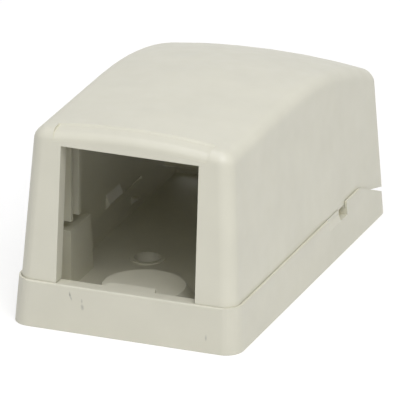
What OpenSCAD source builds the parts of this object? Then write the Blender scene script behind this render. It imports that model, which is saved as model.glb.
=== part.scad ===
// Surface mount jack box: a shallow mounting base and a snap-on cover with one front port.
// Millimetres, +Z up, origin at the centre of the underside, front port toward -Y.

/* [Overall] */
// Width of the base at the mounting surface
body_w = 34; // [32:0.5:40]
// Length of the base at the mounting surface
body_l = 60; // [56:0.5:72]
// Height of the cover's crown above the mounting surface
total_h = 29.3; // [28:0.1:34]
// Radius of the upright corners
corner_r = 2.6; // [2.3:0.1:4]
// Lean of the side walls, sideways per unit of height
side_draft = 0.062; // [0.03:0.005:0.08]
// Lean of the front face, backward per unit of height
front_draft = 0.092; // [0.04:0.005:0.12]
// Lean of the rear face, forward per unit of height
rear_draft = 0.045; // [0.02:0.005:0.08]

/* [Cover] */
// Thickness of the cover's side and rear walls
wall = 1.4; // [1.2:0.1:2]
// Thickness of the cover's front wall
front_wall = 2.1; // [1.4:0.1:2.4]
// Thickness of the cover's roof
roof = 1.6; // [1.3:0.1:2.2]
// Radius of the rounding along the roof's front and sides
roof_r = 1.8; // [1.2:0.1:2]
// Radius of the cover's upright corners at the rear
rear_corner_r = 0.8; // [0.5:0.1:1.2]
// Radius of the rounding along the roof's rear edge
rear_edge_r = 0.5; // [0.3:0.1:0.8]
// Radius of the roof's crown from side to side
crown_r = 95; // [80:1:160]
// Distance from the front at which the roof starts to fall
fall_start = 27; // [20:1:34]
// Radius of the roof's fall toward the rear
fall_r = 78; // [70:1:120]
// Height of the cover's lower edge at its rear face
cover_rear_z = 3.5; // [3.2:0.1:4.5]
// Distance from the rear at which the cover's lower edge starts to fall
skirt_fall = 9.5; // [7:0.5:12]

/* [Port] */
// Width of the front port at its foot
port_w = 20.7; // [18:0.1:22]
// Height of the port's upper edge above the mounting surface
port_top = 26.35; // [24:0.05:26.6]
// Narrowing of each port side from foot to top
port_taper = 0.12; // [0:0.02:0.3]

/* [Brow recess] */
// Width of the shallow recess over the port
brow_w = 23.2; // [18:0.1:24]
// Depth of the recess's rear step
brow_step = 0.25; // [0.15:0.05:0.4]
// Distance of the recess's rear step behind the front face
brow_depth = 2.35; // [2:0.05:3.2]
// Slope of the recess floor in degrees
brow_slope = 10; // [5:1:20]
// Radius between the recess floor and the front face
brow_r = 1.35; // [1:0.05:1.6]

/* [Base] */
// Height of the base's rim at the front and sides
base_h = 6.7; // [6:0.1:8]
// Height of the rim's step behind the pry notch
rim_step = 0.3; // [0.1:0.05:0.5]
// Distance from the rear at which the rim starts to fall
rim_fall = 10.5; // [8:0.5:13]
// Height of the rim at the rear
rim_rear_z = 2.6; // [2.2:0.05:3]
// Thickness of the base's floor
floor_t = 1.8; // [1.4:0.1:2]
// Thickness of the base's walls under the seat
base_wall = 1.9; // [1.6:0.1:2.4]
// Thickness of the thin lip outside the cover
lip = 0.3; // [0.25:0.05:0.5]
// Depth of the cover's seat below the rim
seat_depth = 0.73; // [0.5:0.01:1]
// Thickness of the front wall under the port
sill_t = 2.0; // [1.6:0.1:2.6]
// Rounding of the rim's outer edge along the front
rim_round = 0.3; // [0.1:0.05:0.4]

/* [Sill tongue] */
// Width of the tongue at its root
tongue_w = 7.5; // [5:0.1:10]
// Width of the tongue at its tip
tongue_tip = 6.7; // [4:0.1:9]
// Reach of the tongue behind the front wall
tongue_l = 1.45; // [1:0.05:2]
// Thickness of the tongue
tongue_t = 1.2; // [0.8:0.1:1.4]

/* [Inside] */
// Distance between the facing sides of the two guide posts
guide_gap = 24.6; // [23:0.1:25.4]
// Height of the guide posts above the mounting surface
post_top = 10.3; // [9:0.1:11]
// Distance of the guide posts' front behind the front of the base
post_y = 11.2; // [9:0.1:12]
// Length of the guide posts from front to rear, at their top
post_l = 7.2; // [6:0.1:10]
// How much longer the guide posts are at their foot
post_foot = 1.1; // [0.4:0.1:1.6]
// Distance of the first cover rib behind the front of the base
rib_y = 11.3; // [10:0.1:12]
// Spacing of the cover ribs
rib_pitch = 2.9; // [2:0.1:4]
// Thickness of a cover rib
rib_t = 0.7; // [0.6:0.1:1.4]
// Gap between the guide posts and the cover ribs
rib_gap = 1.4; // [1:0.1:2]
// Radius of the raised disc on the floor
disc_r = 5.85; // [4.5:0.05:6.5]
// Height of the raised disc above the mounting surface
disc_h = 5.3; // [4.5:0.1:5.6]
// Distance of the disc's centre behind the front of the base
disc_y = 7.9; // [7.5:0.1:10]
// How far the disc's flank spreads at the floor
disc_flare = 2.6; // [0.5:0.1:3]
// Skin left over the pocket under the disc
disc_skin = 1.2; // [1:0.1:1.6]

/* [Screw holes] */
// Radius of the mounting screw holes
screw_r = 1.9; // [1.6:0.05:2.2]
// Spacing of the mounting screw holes
screw_pitch = 13; // [12:0.5:16]
// Distance of the screw holes behind the front of the base
screw_y = 25.4; // [22:0.2:32]
// Height of the ring round a screw hole above the floor
screw_ring_h = 0.2; // [0.1:0.1:1]
// Width of the ring round a screw hole
screw_ring_w = 0.7; // [0.5:0.1:1.2]

/* [Side catches] */
// Distance of the pry notch's front end behind the front of the base
notch_y = 36.6; // [34:0.2:38]
// Length of the pry notch
notch_l = 7.3; // [6:0.1:8]
// Height of the pry notch's foot above the mounting surface
notch_z = 5; // [4.6:0.1:5.4]
// Length of the deeper pocket at the notch's rear end
pocket_l = 2.6; // [2:0.1:4]
// Thickness of the wall left behind the pocket
notch_back = 0.3; // [0.2:0.05:0.6]
// Height of the relief in the cover's lower edge over the pocket
relief_h = 0.5; // [0.3:0.05:0.8]
// Length of the relief on the inner side of the cover's wall
relief_l = 6.2; // [4:0.1:7]
// Length of the cover's snap nubs
nub_l = 5; // [3:0.1:6]
// Distance of the snap nubs' front end behind the front of the base
nub_y = 30; // [28:0.2:31]
// How far a snap nub stands proud of the wall
nub_h = 0.65; // [0.4:0.05:0.9]

/* [Cable entry] */
// Width of the rear cable entry
entry_w = 8; // [6:0.5:12]
// Height of the rear cable entry's top above the mounting surface
entry_top = 10; // [9:0.5:14]

/* [Clearances] */
// Least side clearance between the cover and the base's lip
fit = 0.02; // [0.01:0.01:0.1]
// Gap between the cover's lower edge and its seat
seat_gap = 0.03; // [0.02:0.01:0.1]
// Side clearance between the port's jambs and the sill
sill_fit = 0.12; // [0.1:0.01:0.3]

/* [Hidden] */

plastic = [0.83, 0.81, 0.75];
plastic_cover = [0.86, 0.84, 0.79];
eps = 0.01;
$fn = 64;

// Number of steps round a corner, along a side, along an end and round the roof's edge
corner_steps = 7;
side_steps = 18;
end_steps = 8;
edge_steps = 6;

front = -body_l / 2;
rear = body_l / 2;
seat_z = base_h - seat_depth;
cover_z = seat_z + seat_gap;
rim_top = base_h + rim_step;
rim_slope = (rim_top - rim_rear_z) / rim_fall;
skirt_slope = (cover_z - cover_rear_z) / skirt_fall;
notch_end = front + notch_y + notch_l;

// Room that the leaning walls need to lift straight out past the lip
lift_room = max(side_draft * (rim_top - cover_z), front_draft * (base_h - cover_z));
// Distance of the cover's walls inside the base's, at one level
cover_inset = lip + fit + lift_room;

// Lowest level that the cover's lofts are drawn from, before their foot is trimmed
loft_foot = 2;
// Easing of the base's lower edge, and roundings inside the cover
edge_round = 0.1;
inner_round = 0.7;
inner_corner_r = 0.8;
// How far a cutting shape reaches past what it cuts
beyond = 3;

// ---------------------------------------------------------------- roof form

// Drop of a circle of radius r at distance d from its top
function sag(r, d) = r - sqrt(max(0, r * r - d * d));

// Height of the roof's outer face over a point of the plan
function roof_z(x, y) =
    total_h - sag(crown_r, x) - sag(fall_r, max(0, y - front - fall_start));

// ---------------------------------------------------------------- plan outlines

// One corner of an outline, as points that also carry the outward normal
function corner(cx, cy, r, a0) =
    [for (k = [0:corner_steps]) let(a = a0 + 90 * k / corner_steps)
        [cx + r * cos(a), cy + r * sin(a), cos(a), sin(a)]];

// The n - 1 points that part the line from p to q into n equal steps
function between(p, q, n) = [for (k = [1:n - 1]) p + (q - p) * k / n];

// The same with shorter steps toward both ends of the line
function eased_between(p, q, n) =
    [for (k = [1:n - 1]) p + (q - p) * (1 - cos(180 * k / n)) / 2];

// A rounded oblong, counterclockwise from the middle of its front edge. The first radius
// is that of the front corners, and the second that of the rear ones.
function outline(hw, yf, yr, radii) =
    let(r = radii[0], b = radii[1],
        fr = corner(hw - r, yf + r, r, -90),
        rr = corner(hw - b, yr - b, b, 0),
        rl = corner(b - hw, yr - b, b, 90),
        fl = corner(r - hw, yf + r, r, 180),
        mid = [0, yf, 0, -1],
        half = end_steps / 2)
    concat([mid], between(mid, fr[0], half), fr,
           between(fr[corner_steps], rr[0], side_steps), rr,
           eased_between(rr[corner_steps], rl[0], end_steps), rl,
           between(rl[corner_steps], fl[0], side_steps), fl,
           between(fl[corner_steps], mid, half));

// Outline of a drafted wall at height z. The insets from the base's outer faces are those
// of the sides, the front and the rear.
function wall_outline(insets, radii, z) =
    outline(body_w / 2 - insets[0] - side_draft * z,
            front + insets[1] + front_draft * z,
            rear - insets[2] - rear_draft * z, radii);

// ---------------------------------------------------------------- lofts

// Place of a ring's point along the ridge, counted from the ridge's front end: the
// first and last stations along the sides share the ridge's two end points
ridge_from = 5;
function station(i, n) =
    let(k = i <= n / 2 ? i : n - i, s = k - end_steps / 2 - corner_steps)
    max(ridge_from, min(side_steps - ridge_from, s)) - ridge_from;

// Faces of a loft of rings of n points: the sides, a fan below to the point after the
// rings, and a roof that closes on the ridge points after that
function loft_faces(rings, n, place) =
    let(top = (rings - 1) * n, foot = rings * n, ridge = foot + 1)
    concat([for (k = [0:rings - 2], i = [0:n - 1]) let(j = (i + 1) % n)
               [k * n + i, (k + 1) * n + i, (k + 1) * n + j]],
           [for (k = [0:rings - 2], i = [0:n - 1]) let(j = (i + 1) % n)
               [k * n + i, (k + 1) * n + j, k * n + j]],
           [for (i = [0:n - 1]) [foot, i, (i + 1) % n]],
           [for (i = [0:n - 1]) [top + i, ridge + place[i], top + (i + 1) % n]],
           [for (i = [0:n - 1]) let(j = (i + 1) % n) if (place[i] != place[j])
               [top + (i + 1) % n, ridge + place[i], ridge + place[j]]]);

// A drafted box under the curved roof: walls, rounded upper edge and crowned top. The
// first of the edges is the rounding along the front and sides, which runs out through the
// rear face, and the second is the rounding along the rear.
module roofed_box(insets, radii, edges, drop, foot) {
    low = wall_outline(insets, radii, 0);
    lean = wall_outline(insets, radii, 1) - low;
    n = len(low);
    e = edges[0];
    function at(i, z) = low[i] + lean[i] * z;
    function half_width(z) = body_w / 2 - insets[0] - side_draft * z;
    function rearward(i) = max(0, low[i][3]);
    // Drop of the roof's surface near a side, from its rounding along that side
    function side_sag(x, z) = sag(e, max(0, abs(x) - half_width(z) + e));
    function edge_drop(i, x, z, a) =
        rearward(i) > 0 ? side_sag(x, z) + edges[1] * pow(rearward(i), 2) * (1 - sin(a))
                        : e * (1 - sin(a));
    function eaves(i, z) =
        let(p = at(i, z)) roof_z(p[0], p[1]) - drop - edge_drop(i, p[0], z, 0);
    function wall_top(i) = eaves(i, eaves(i, total_h));
    function edge(i, a) =
        let(z = wall_top(i), p = at(i, z), in = 1 - cos(a),
            x = p[0] - low[i][2] * e * in,
            y = p[1] - low[i][3] * (rearward(i) > 0 ? edges[1] : e) * in)
        [x, y, roof_z(x, y) - drop - edge_drop(i, x, z, a)];
    // The roof's rings close in on a ridge line along the middle
    place = [for (i = [0:n - 1]) station(i, n)];
    first = end_steps / 2 + corner_steps + ridge_from;
    ridge_y = [for (k = [0:side_steps - 2 * ridge_from]) low[first + k][1]];
    function top(i, t) =
        let(p = edge(i, 90), x = p[0] * (1 - t), y = p[1] + (ridge_y[place[i]] - p[1]) * t)
        [x, y, roof_z(x, y) - drop];
    rings = concat(
        [[for (i = [0:n - 1]) [at(i, foot)[0], at(i, foot)[1], foot]]],
        [for (s = [0:edge_steps]) [for (i = [0:n - 1]) edge(i, 90 * s / edge_steps)]],
        [for (t = [0.09, 0.3, 0.55, 0.8]) [for (i = [0:n - 1]) top(i, t)]]);
    points = concat([for (ring = rings) for (p = ring) p], [[0, 0, foot]],
                    [for (y = ridge_y) [0, y, roof_z(0, y) - drop]]);
    polyhedron(points = points, faces = loft_faces(len(rings), n, place), convexity = 6);
}

// A prism along X whose side view is a polygon of [y, z] points
module side_prism(points, x0, x1) {
    translate([x0, 0, 0])
        rotate([90, 0, 90])
            linear_extrude(height = x1 - x0)
                polygon(points);
}

// A prism along Y whose front view is a polygon of [x, z] points
module front_prism(points, y0, y1) {
    translate([0, y1, 0])
        rotate([90, 0, 0])
            linear_extrude(height = y1 - y0)
                polygon(points);
}

// An upright plate with rounded corners, true round at the corners
module rounded_block(x, y0, y1, r, z0, z1) {
    translate([0, 0, z0])
        linear_extrude(height = z1 - z0)
            union() {
                translate([-x, y0 + r]) square([2 * x, y1 - y0 - 2 * r]);
                translate([r - x, y0]) square([2 * (x - r), y1 - y0]);
                for (sx = [-1, 1], cy = [y0 + r, y1 - r])
                    translate([sx * (x - r), cy]) circle(r = r);
            }
}

module both_sides() {
    children();
    mirror([1, 0, 0]) children();
}

// ---------------------------------------------------------------- base

// Drafted walls through the levels, each given with its inset
module drafted_walls(levels) {
    rings = [for (lv = levels)
        [for (p = wall_outline([1, 1, 1] * lv[1], [1, 1] * (corner_r - lv[1]), lv[0]))
            [p[0], p[1], lv[0]]]];
    n = len(rings[0]);
    points = concat([for (ring = rings) for (p = ring) p],
                    [[0, 0, levels[0][0]], [0, 0, levels[len(levels) - 1][0]]]);
    polyhedron(points = points, faces = loft_faces(len(levels), n, [for (i = [1:n]) 0]),
               convexity = 4);
}

// Outer form of the base, with an eased lower edge
module base_form() {
    drafted_walls([[0, edge_round], [edge_round, 0], [rim_top + eps, 0]]);
}

// Everything above the rim: level along the sides, a step at the notch, a fall at the rear
module above_rim() {
    side_prism([[front - beyond, base_h], [notch_end, base_h], [notch_end, rim_top],
                [rear - rim_fall, rim_top], [rear + beyond, rim_rear_z - rim_slope * beyond],
                [rear + beyond, rim_top + beyond], [front - beyond, rim_top + beyond]],
               -body_w, body_w);
}

// The seat that the cover's lower edge rests on, following the rim's fall at the rear
module seat_cut() {
    intersection() {
        drafted_walls([[floor_t, lip], [rim_top + beyond, lip]]);
        side_prism([[front - beyond, seat_z], [rear - rim_fall, seat_z],
                    [rear + beyond, rim_rear_z - seat_depth - rim_slope * beyond],
                    [rear + beyond, rim_top + beyond], [front - beyond, rim_top + beyond]],
                   -body_w, body_w);
    }
}

module base_hollow() {
    rounded_block(body_w / 2 - base_wall, front + sill_t, rear - base_wall,
                  corner_r - wall, floor_t, rim_top + beyond);
}

// Front wall under the port, full height, with the tongue on its upper inner edge
module sill() {
    sill_w = port_w / 2 - sill_fit;
    lean = front_draft;
    face = front + lip / 2;
    side_prism([[face + lean * floor_t, floor_t - eps], [face + lean * base_h, base_h],
                [front + sill_t + lean * base_h, base_h], [front + sill_t, floor_t - eps]],
               -sill_w, sill_w);
    tongue_root = front + sill_t + lean * base_h - eps;
    translate([0, 0, base_h - tongue_t])
        linear_extrude(height = tongue_t)
            polygon([[-tongue_w / 2, tongue_root], [tongue_w / 2, tongue_root],
                     [tongue_tip / 2, tongue_root + tongue_l],
                     [-tongue_tip / 2, tongue_root + tongue_l]]);
}

// Guide post at one side: a plate with a sloping rear edge. Below the seat it grows out of
// the base's wall, and above the seat it clears the cover's wall.
module guide_post() {
    x_in = guide_gap / 2;
    x_wall = body_w / 2 - base_wall + eps;
    x_free = body_w / 2 - cover_inset - wall - side_draft * post_top - fit;
    y0 = front + post_y;
    z0 = floor_t - eps;
    translate([x_in, y0, z0]) cube([x_wall - x_in, post_l, seat_z - z0]);
    side_prism([[y0, z0], [y0 + post_l + post_foot, z0], [y0 + post_l, post_top],
                [y0, post_top]], x_in, x_free);
}

// Raised disc with a flat top and a spreading flank that ends at the front wall
module floor_disc() {
    spread = disc_r + disc_flare;
    intersection() {
        translate([0, front + disc_y, floor_t - eps])
            cylinder(r1 = spread, r2 = disc_r, h = disc_h - floor_t + eps);
        translate([-spread, front + sill_t - eps, 0])
            cube([2 * spread, disc_y + spread, base_h]);
    }
}

// Pocket under the disc, open to the underside
module disc_pocket() {
    translate([0, front + disc_y, -eps])
        cylinder(r = disc_r - disc_skin, h = disc_h - disc_skin + eps);
}

module screw_places() {
    for (sx = [-1, 1])
        translate([sx * screw_pitch / 2, front + screw_y, 0]) children();
}

// Pry notch at one side: a slope from the seat's outer edge down to the outer face, and a
// pocket at its rear end with a thin wall left behind it
module pry_notch() {
    x_seat = body_w / 2 - lip - side_draft * seat_z;
    x_out = body_w / 2 - side_draft * notch_z;
    top = rim_top + beyond;
    front_prism([[x_seat, top], [x_seat, seat_z], [x_out, notch_z],
                 [x_out + beyond, notch_z], [x_out + beyond, top]],
                front + notch_y, notch_end);
    translate([body_w / 2 - base_wall + notch_back, notch_end - pocket_l, notch_z])
        cube([base_wall + beyond, pocket_l, base_h]);
}

// Small catch inside the base wall, under the pry notch
module side_catch() {
    reach = 1.1;
    thickness = 1;
    x_wall = body_w / 2 - base_wall;
    top = notch_z - 0.8;
    y0 = front + notch_y + notch_l / 2;
    front_prism([[x_wall + eps, top], [x_wall - reach, top], [x_wall + eps, top - reach]],
                y0, y0 + thickness);
}

// Cuts the rounding of the rim's outer edge along the front
module front_edge() {
    y_edge = front + front_draft * base_h;
    steps = 5;
    arc = [for (k = [0:steps]) let(a = 180 - 90 * k / steps)
        [y_edge + rim_round * (1 + cos(a)), base_h + rim_round * (sin(a) - 1)]];
    side_prism(concat([[y_edge - beyond, base_h - rim_round]], arc,
                      [[y_edge + rim_round, base_h + beyond], [y_edge - beyond, base_h + beyond]]),
               -body_w / 2, body_w / 2);
}

module base() {
    color(plastic)
    difference() {
        union() {
            difference() {
                base_form();
                above_rim();
                seat_cut();
                base_hollow();
                both_sides() pry_notch();
            }
            sill();
            both_sides() guide_post();
            both_sides() side_catch();
            floor_disc();
            screw_places() cylinder(r = screw_r + screw_ring_w, h = floor_t + screw_ring_h);
        }
        front_edge();
        disc_pocket();
        screw_places()
            translate([0, 0, -eps]) cylinder(r = screw_r, h = floor_t + screw_ring_h + 2 * eps);
    }
}

// ---------------------------------------------------------------- cover

// Everything under the cover's lower edge, which falls toward the rear
module under_cover() {
    side_prism([[front - beyond, cover_z], [rear - skirt_fall, cover_z],
                [rear + beyond, cover_rear_z - skirt_slope * beyond],
                [rear + beyond, -beyond], [front - beyond, -beyond]],
               -body_w, body_w);
}

module cover_form() {
    roofed_box([1, 1, 1] * cover_inset, [corner_r - cover_inset, rear_corner_r],
               [roof_r, rear_edge_r], 0, loft_foot);
}

module cover_hollow() {
    roofed_box([wall, front_wall, wall] + [1, 1, 1] * cover_inset, [1, 1] * inner_corner_r,
               [1, 1] * inner_round, roof, loft_foot - 1);
}

// Front port, open downward on to the sill
module port_cut() {
    foot = port_w / 2;
    head = foot - port_taper;
    inner_face = front + cover_inset + front_wall + front_draft * port_top;
    front_prism([[-foot, 0], [foot, 0], [foot, base_h],
                 [head, port_top], [-head, port_top], [-foot, base_h]],
                front - beyond, inner_face + 1);
}

// Shallow recess over the port that follows the roof's crown
module brow_recess() {
    // In the profile, the first value is along Y and the second is up from the roof's top.
    // A point of the front face, and the step's foot
    lean = atan(front_draft);
    face = [front + cover_inset + front_draft * total_h, 0];
    foot = [face[0] + brow_depth, -brow_step];
    // Centre of the arc tangent to the front face and to the recess floor
    n1 = [-cos(lean), sin(lean)];
    n2 = [-sin(brow_slope), cos(brow_slope)];
    d1 = n1 * face - brow_r;
    d2 = n2 * foot - brow_r;
    det = n1[0] * n2[1] - n1[1] * n2[0];
    c = [(d1 * n2[1] - d2 * n1[1]) / det, (n1[0] * d2 - n2[0] * d1) / det];
    arc_steps = 8;
    arc_from = 180 - lean;
    arc_to = 90 + brow_slope;
    arc = [for (k = [0:arc_steps]) let(a = arc_from + (arc_to - arc_from) * k / arc_steps)
        c + brow_r * [cos(a), sin(a)]];
    above = 1.5;
    ahead = 1;
    profile = concat([[face[0] - ahead, arc[0][1]]], arc,
                     [foot, [foot[0] + brow_step + above, above], [face[0] - ahead, above]]);
    half = asin(brow_w / 2 / crown_r);
    // Revolved about an axis along Y at the centre of the crown
    translate([0, 0, total_h - crown_r])
        rotate([-90, 0, 0])
            rotate([0, 0, -90 - half])
                rotate_extrude(angle = 2 * half)
                    polygon([for (p = profile) [crown_r + p[1], p[0]]]);
}

// Upright guide ribs inside one side wall
module cover_ribs() {
    x_in = guide_gap / 2 + fit;
    foot = post_top + rib_gap;
    head = total_h - roof - inner_round;
    x_mid = body_w / 2 - cover_inset - wall / 2;
    for (k = [0, 1])
        front_prism([[x_in, foot], [x_mid - side_draft * foot, foot],
                     [x_mid - side_draft * head, head], [x_in, head]],
                    front + rib_y + k * rib_pitch, front + rib_y + k * rib_pitch + rib_t);
}

// Snap nub on the inner face of one side wall, just above the seat: a sloping underside
// and a long sloping top
module snap_nub() {
    foot = cover_z + 0.3;
    crest = foot + 0.8;
    head = foot + 2.2;
    x_face = body_w / 2 - cover_inset - wall;
    x_root = x_face - side_draft * foot + wall / 2;
    front_prism([[x_root, foot], [x_face - side_draft * foot - 0.1, foot],
                 [x_face - side_draft * crest - nub_h, crest],
                 [x_face - side_draft * head, head], [x_root, head]],
                front + nub_y, front + nub_y + nub_l);
}

// Relief in the lower edge of one side wall, for a driver blade: through the wall over the
// pocket, and longer on the wall's inner half
module edge_relief() {
    y1 = notch_end - 0.15;
    x_in = body_w / 2 - base_wall - wall;
    x_mid = body_w / 2 - cover_inset - side_draft * cover_z - wall / 2;
    height = cover_z + relief_h - loft_foot;
    translate([x_in, y1 - pocket_l, loft_foot]) cube([base_wall + wall, pocket_l, height]);
    translate([x_in, y1 - relief_l, loft_foot]) cube([x_mid - x_in, relief_l, height]);
}

// Arched cable entry through the rear wall, open at the lower edge
module cable_entry() {
    arch_r = entry_w / 2;
    y0 = rear - cover_inset - wall - rear_draft * total_h - 1;
    depth = rear + beyond - y0;
    translate([0, y0, 0]) {
        translate([-arch_r, 0, 0]) cube([entry_w, depth, entry_top - arch_r]);
        translate([0, 0, entry_top - arch_r])
            rotate([-90, 0, 0]) cylinder(r = arch_r, h = depth);
    }
}

module cover() {
    color(plastic_cover)
    difference() {
        union() {
            difference() {
                cover_form();
                cover_hollow();
                under_cover();
            }
            both_sides() cover_ribs();
            both_sides() snap_nub();
        }
        port_cut();
        brow_recess();
        both_sides() edge_relief();
        cable_entry();
    }
}

base();
cover();
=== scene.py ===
"""Surface mount jack box: an off-white moulded base and its snap-on cover.

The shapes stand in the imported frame, in metres: +Z up, the front port toward -Y.
"""
import math

import bpy
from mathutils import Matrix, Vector


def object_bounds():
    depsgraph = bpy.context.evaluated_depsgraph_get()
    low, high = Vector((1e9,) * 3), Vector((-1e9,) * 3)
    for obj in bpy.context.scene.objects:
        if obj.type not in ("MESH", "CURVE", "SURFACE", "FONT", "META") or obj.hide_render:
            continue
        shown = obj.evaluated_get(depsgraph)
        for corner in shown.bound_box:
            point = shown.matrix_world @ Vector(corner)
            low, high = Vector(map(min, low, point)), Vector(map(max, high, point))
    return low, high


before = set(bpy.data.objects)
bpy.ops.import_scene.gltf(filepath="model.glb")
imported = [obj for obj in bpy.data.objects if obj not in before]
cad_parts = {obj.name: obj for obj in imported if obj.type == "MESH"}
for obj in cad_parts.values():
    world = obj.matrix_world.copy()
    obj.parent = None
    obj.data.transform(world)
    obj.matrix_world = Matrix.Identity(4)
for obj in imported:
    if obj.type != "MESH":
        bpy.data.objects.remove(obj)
CAD_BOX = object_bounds()
MM = 0.001

# ---------------------------------------------------------------- camera

# Focal length and sensor width, in millimetres
LENS = 675.0
SENSOR = 36.0
# Where the camera stands: the turn from the port's front toward the right side, the height
# angle, and the distance in metres from the point it aims at
AZIMUTH = math.radians(21.62)
ELEVATION = math.radians(21.52)
DISTANCE = 1.0577
# The point it aims at, in millimetres: from the middle of the box, and then to the right and
# down in the picture
AIM_OFFSET = (0, -1.0, -2.65)
AIM_RIGHT = 0.03
AIM_DOWN = 1.61
# The nearest and the farthest distance that it shows, in metres
CLIP_START = 0.1
CLIP_END = 10


def make_camera():
    """A long lens, in front, above and to the right of the box."""
    right = Vector((math.cos(AZIMUTH), math.sin(AZIMUTH), 0))
    ahead = Vector((-math.sin(AZIMUTH) * math.cos(ELEVATION),
                    math.cos(AZIMUTH) * math.cos(ELEVATION), -math.sin(ELEVATION)))
    up = right.cross(ahead)
    low, high = CAD_BOX
    centre = (low + high) / 2
    aim = centre + Vector(AIM_OFFSET) * MM + right * AIM_RIGHT * MM - up * AIM_DOWN * MM
    data = bpy.data.cameras.new("camera")
    data.lens = LENS
    data.sensor_width = SENSOR
    data.clip_start = CLIP_START
    data.clip_end = CLIP_END
    camera = bpy.data.objects.new("camera", data)
    camera.location = aim - ahead * DISTANCE
    camera.rotation_mode = "QUATERNION"
    camera.rotation_quaternion = ahead.to_track_quat("-Z", "Y")
    bpy.context.scene.collection.objects.link(camera)
    bpy.context.scene.camera = camera


# ---------------------------------------------------------------- node helpers

def empty_nodes(owner):
    """Turns on the nodes of a material or the world, with none in them yet."""
    owner.use_nodes = True
    nodes, links = owner.node_tree.nodes, owner.node_tree.links
    nodes.clear()
    return nodes, links


def combine(nodes, links, operation, first, second, clamp=False):
    """A Math node; each of the two inputs is a socket or a number."""
    node = nodes.new("ShaderNodeMath")
    node.operation = operation
    node.use_clamp = clamp
    for socket, value in zip(node.inputs, (first, second)):
        if isinstance(value, (int, float)):
            socket.default_value = value
        else:
            links.new(value, socket)
    return node.outputs["Value"]


# ---------------------------------------------------------------- plastic

IOR = 1.5
# Noises: scale per metre, detail and roughness
MOTTLE = (160, 3, 0.5)
GLOSS = (420, 4, 0.5)
GRAIN = (5200, 3, 0.6)
RUB = (2600, 2, 0.5)
# Each piece takes its noises from another place, this far on, so that they don't match
NOISE_STEP = (1, 0.7, 0.3)
# The part of a noise's range that holds nearly all of its values
NOISE_LOW = 0.3
NOISE_HIGH = 0.7
# What the noises vary: the share of the pigment's colour, the roughness, and the strength of
# the scuffs
PIGMENT_SHARE = (0.975, 1.02)
ROUGHNESS = (0.36, 0.46)
RUB_STRENGTH = (0.5, 1.0)
# The mould texture's strength, and its height in millimetres
GRAIN_STRENGTH = 0.12
GRAIN_HEIGHT = 0.03

# Scuffs on the base's front face, in millimetres: X, height, half width, half length, the
# tilt in degrees and the strength
SCUFFS = ((-8.05, 5.45, 0.16, 0.55, -12, 0.50), (-7.85, 4.95, 0.14, 0.40, -20, 0.30),
          (-6.25, 4.75, 0.14, 0.45, -5, 0.27), (-6.15, 3.90, 0.30, 0.55, -8, 0.30),
          (12.30, 2.20, 0.18, 0.55, 0, 0.27))
SCUFF_COLOUR = (0.16, 0.16, 0.12)
# How far behind the base's foremost point their middle lies, because the face leans, and how
# far they reach in front of it and behind it, in millimetres
SCUFF_BEHIND = 0.4
SCUFF_REACH = 3
# How steeply a scuff's strength rises from its rim to its middle
SCUFF_GAIN = 2.2


def scuff_mask(nodes, links, coords, rough_edge):
    """The strongest scuff at each point; rough_edge is a noise that makes them uneven."""
    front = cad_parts["base"].bound_box[0][1]
    total = 0.0
    for x, z, half_width, half_length, tilt, strength in SCUFFS:
        place = nodes.new("ShaderNodeMapping")
        place.vector_type = "TEXTURE"
        place.inputs["Location"].default_value = (x * MM, front + SCUFF_BEHIND * MM, z * MM)
        place.inputs["Rotation"].default_value = (0, math.radians(tilt), 0)
        place.inputs["Scale"].default_value = (half_width * MM, SCUFF_REACH * MM,
                                               half_length * MM)
        links.new(coords, place.inputs["Vector"])
        blob = nodes.new("ShaderNodeTexGradient")
        blob.gradient_type = "SPHERICAL"
        links.new(place.outputs["Vector"], blob.inputs["Vector"])
        level = combine(nodes, links, "MULTIPLY", blob.outputs["Fac"], strength * SCUFF_GAIN,
                        clamp=True)
        total = combine(nodes, links, "MAXIMUM", total, level)
    return combine(nodes, links, "MULTIPLY", total, rough_edge, clamp=True)


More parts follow.
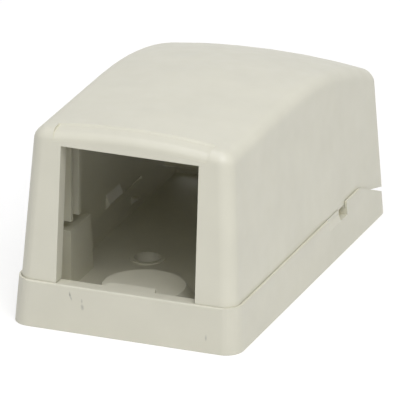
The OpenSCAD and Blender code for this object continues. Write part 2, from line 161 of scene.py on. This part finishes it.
def moulded_plastic(name, colour, seed, scuffed=False):
    """Satin off-white ABS: fine mould texture, faint mottling and slightly uneven gloss."""
    material = bpy.data.materials.new(name)
    nodes, links = empty_nodes(material)
    out = nodes.new("ShaderNodeOutputMaterial")
    shader = nodes.new("ShaderNodeBsdfPrincipled")
    links.new(shader.outputs["BSDF"], out.inputs["Surface"])
    shader.inputs["IOR"].default_value = IOR
    coords = nodes.new("ShaderNodeTexCoord")
    mapping = nodes.new("ShaderNodeMapping")
    mapping.inputs["Location"].default_value = [seed * step for step in NOISE_STEP]
    links.new(coords.outputs["Object"], mapping.inputs["Vector"])

    def noise(scale, detail, roughness):
        node = nodes.new("ShaderNodeTexNoise")
        node.inputs["Scale"].default_value = scale
        node.inputs["Detail"].default_value = detail
        node.inputs["Roughness"].default_value = roughness
        links.new(mapping.outputs["Vector"], node.inputs["Vector"])
        return node.outputs["Fac"]

    def spread(value, low, high):
        """The noise's usual range, stretched from low to high."""
        ranged = nodes.new("ShaderNodeMapRange")
        ranged.inputs["From Min"].default_value = NOISE_LOW
        ranged.inputs["From Max"].default_value = NOISE_HIGH
        ranged.inputs["To Min"].default_value = low
        ranged.inputs["To Max"].default_value = high
        links.new(value, ranged.inputs["Value"])
        return ranged.outputs["Result"]

    # Colour: the pigment varies a little over a few millimetres
    ramp = nodes.new("ShaderNodeValToRGB")
    places = (NOISE_LOW, NOISE_HIGH)
    for element, place, share in zip(ramp.color_ramp.elements, places, PIGMENT_SHARE):
        element.position = place
        element.color = (*[min(1, c * share) for c in colour], 1)
    links.new(noise(*MOTTLE), ramp.inputs["Fac"])
    pigment = ramp.outputs["Color"]
    if scuffed:
        rub = nodes.new("ShaderNodeMix")
        rub.data_type = "RGBA"
        rub.inputs["B"].default_value = (*SCUFF_COLOUR, 1)
        links.new(scuff_mask(nodes, links, coords.outputs["Object"],
                             spread(noise(*RUB), *RUB_STRENGTH)), rub.inputs["Factor"])
        links.new(pigment, rub.inputs["A"])
        pigment = rub.outputs["Result"]
    links.new(pigment, shader.inputs["Base Color"])

    # Gloss: uneven over the surface
    links.new(spread(noise(*GLOSS), *ROUGHNESS), shader.inputs["Roughness"])

    # Relief: fine spark-eroded texture
    bump = nodes.new("ShaderNodeBump")
    bump.inputs["Strength"].default_value = GRAIN_STRENGTH
    bump.inputs["Distance"].default_value = GRAIN_HEIGHT * MM
    links.new(noise(*GRAIN), bump.inputs["Height"])
    links.new(bump.outputs["Normal"], shader.inputs["Normal"])
    return material


# ---------------------------------------------------------------- light and floor

WHITE = (1, 1, 1)
COOL = (0.98, 0.985, 1.09)
COOLER = (0.965, 0.985, 1.18)
WORLD_LEVEL = 0.30
# The lamps' side length and their distance from the origin, in metres
LAMP_SIZE = 0.6
LAMP_DISTANCE = 1.0
# Name, power in watts, azimuth and elevation in degrees, and colour; azimuth 0 is in front
# of the port
LAMPS = (("key", 1.50, 22, 45, COOL), ("low", 0.90, 27, 15, COOL),
         ("fill", 0.80, -15, 45, COOL), ("side", 4.00, 50, 52, COOL),
         ("rim", 0.50, 100, 15, COOL), ("overhead", 2.80, 0, 90, COOLER))

# The floor's half length in metres, and its colour as it lights the box
FLOOR_HALF = 1.5
FLOOR_COLOUR = (0.8, 0.8, 0.8)
# Its colour and its own light where it is the background, which add up to white in full light
SHADOW_COLOUR = (0.46, 0.455, 0.405)
FLOOR_LIFT = 0.60


def show_background(nodes, links, out, lit, seen):
    """Lights the box by one shader; rays that show the background get the other.

    Those rays are the ones that see it directly, mirrored or through something clear.
    """
    path = nodes.new("ShaderNodeLightPath")
    shows = path.outputs["Is Camera Ray"]
    for kind in ("Is Glossy Ray", "Is Transmission Ray"):
        shows = combine(nodes, links, "MAXIMUM", shows, path.outputs[kind])
    mix = nodes.new("ShaderNodeMixShader")
    links.new(shows, mix.inputs["Fac"])
    links.new(lit, mix.inputs[1])
    links.new(seen, mix.inputs[2])
    links.new(mix.outputs["Shader"], out.inputs["Surface"])


def make_world():
    """Soft light from all round; the camera and reflections see plain white."""
    world = bpy.data.worlds.new("studio")
    bpy.context.scene.world = world
    nodes, links = empty_nodes(world)
    out = nodes.new("ShaderNodeOutputWorld")

    def background(colour, strength):
        node = nodes.new("ShaderNodeBackground")
        node.inputs["Color"].default_value = (*colour, 1)
        node.inputs["Strength"].default_value = strength
        return node.outputs["Background"]

    show_background(nodes, links, out, background(COOL, WORLD_LEVEL), background(WHITE, 1.0))


def make_lights():
    """Large soft boxes: three in front, two at the right and one overhead."""
    for name, power, azimuth, elevation, colour in LAMPS:
        a = math.radians(azimuth)
        e = math.radians(elevation)
        way = Vector((math.sin(a) * math.cos(e), -math.cos(a) * math.cos(e), math.sin(e)))
        data = bpy.data.lights.new(name, "AREA")
        data.energy = power
        data.color = colour
        data.size = LAMP_SIZE
        lamp = bpy.data.objects.new(name, data)
        lamp.location = way * LAMP_DISTANCE
        lamp.rotation_mode = "QUATERNION"
        lamp.rotation_quaternion = (-way).to_track_quat("-Z", "Y")
        bpy.context.scene.collection.objects.link(lamp)


def make_floor():
    """A wide plain floor that the box stands on. It is white where nothing shades it."""
    half = FLOOR_HALF
    mesh = bpy.data.meshes.new("floor")
    mesh.from_pydata([(-half, -half, 0), (half, -half, 0), (half, half, 0), (-half, half, 0)],
                     [], [(0, 1, 2, 3)])
    floor = bpy.data.objects.new("floor", mesh)
    bpy.context.scene.collection.objects.link(floor)
    material = bpy.data.materials.new("floor_white")
    nodes, links = empty_nodes(material)
    out = nodes.new("ShaderNodeOutputMaterial")
    matte = nodes.new("ShaderNodeBsdfDiffuse")
    matte.inputs["Color"].default_value = (*FLOOR_COLOUR, 1)
    # As the background it is lifted to white, and keeps a part of the box's shadow
    shaded = nodes.new("ShaderNodeBsdfDiffuse")
    shaded.inputs["Color"].default_value = (*SHADOW_COLOUR, 1)
    lift = nodes.new("ShaderNodeEmission")
    lift.inputs["Strength"].default_value = FLOOR_LIFT
    seen = nodes.new("ShaderNodeAddShader")
    links.new(shaded.outputs["BSDF"], seen.inputs[0])
    links.new(lift.outputs["Emission"], seen.inputs[1])
    show_background(nodes, links, out, matte.outputs["BSDF"], seen.outputs["Shader"])
    mesh.materials.append(material)


# ---------------------------------------------------------------- the box

COLOURS = {"base": (0.62, 0.60, 0.455), "cover": (0.635, 0.615, 0.465)}
# Faces that meet at less than this angle, in degrees, are shaded as one
SMOOTH_UNDER = {"base": 16, "cover": 24}
# Points of the frame's mesh that are closer than this, in millimetres, are one
WELD_WITHIN = 0.002
# How far the larger faces set the shading where faces meet: 50 is even, 100 the most
LARGE_FACES = 100


def join(obj):
    """Joins the faces' edges, which the frame's mesh keeps apart."""
    weld = obj.modifiers.new("weld", "WELD")
    weld.merge_threshold = WELD_WITHIN * MM


def smooth(obj, angle):
    """Shades the curved faces smooth, and keeps the sharp edges sharp and the flats flat."""
    for face in obj.data.polygons:
        face.use_smooth = True
    split = obj.modifiers.new("sharp", "EDGE_SPLIT")
    split.split_angle = math.radians(angle)
    split.use_edge_sharp = False
    normals = obj.modifiers.new("normals", "WEIGHTED_NORMAL")
    normals.weight = LARGE_FACES


def dress_box():
    """The two mouldings are shown as they are in the frame, with their finish."""
    for seed, (name, colour) in enumerate(COLOURS.items()):
        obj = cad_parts[name]
        material = moulded_plastic(name + "_plastic", colour, seed, scuffed=name == "base")
        obj.material_slots[0].material = material
        join(obj)
        smooth(obj, SMOOTH_UNDER[name])


make_camera()
make_world()
make_lights()
make_floor()
dress_box()
bpy.context.scene.view_settings.view_transform = "Standard"
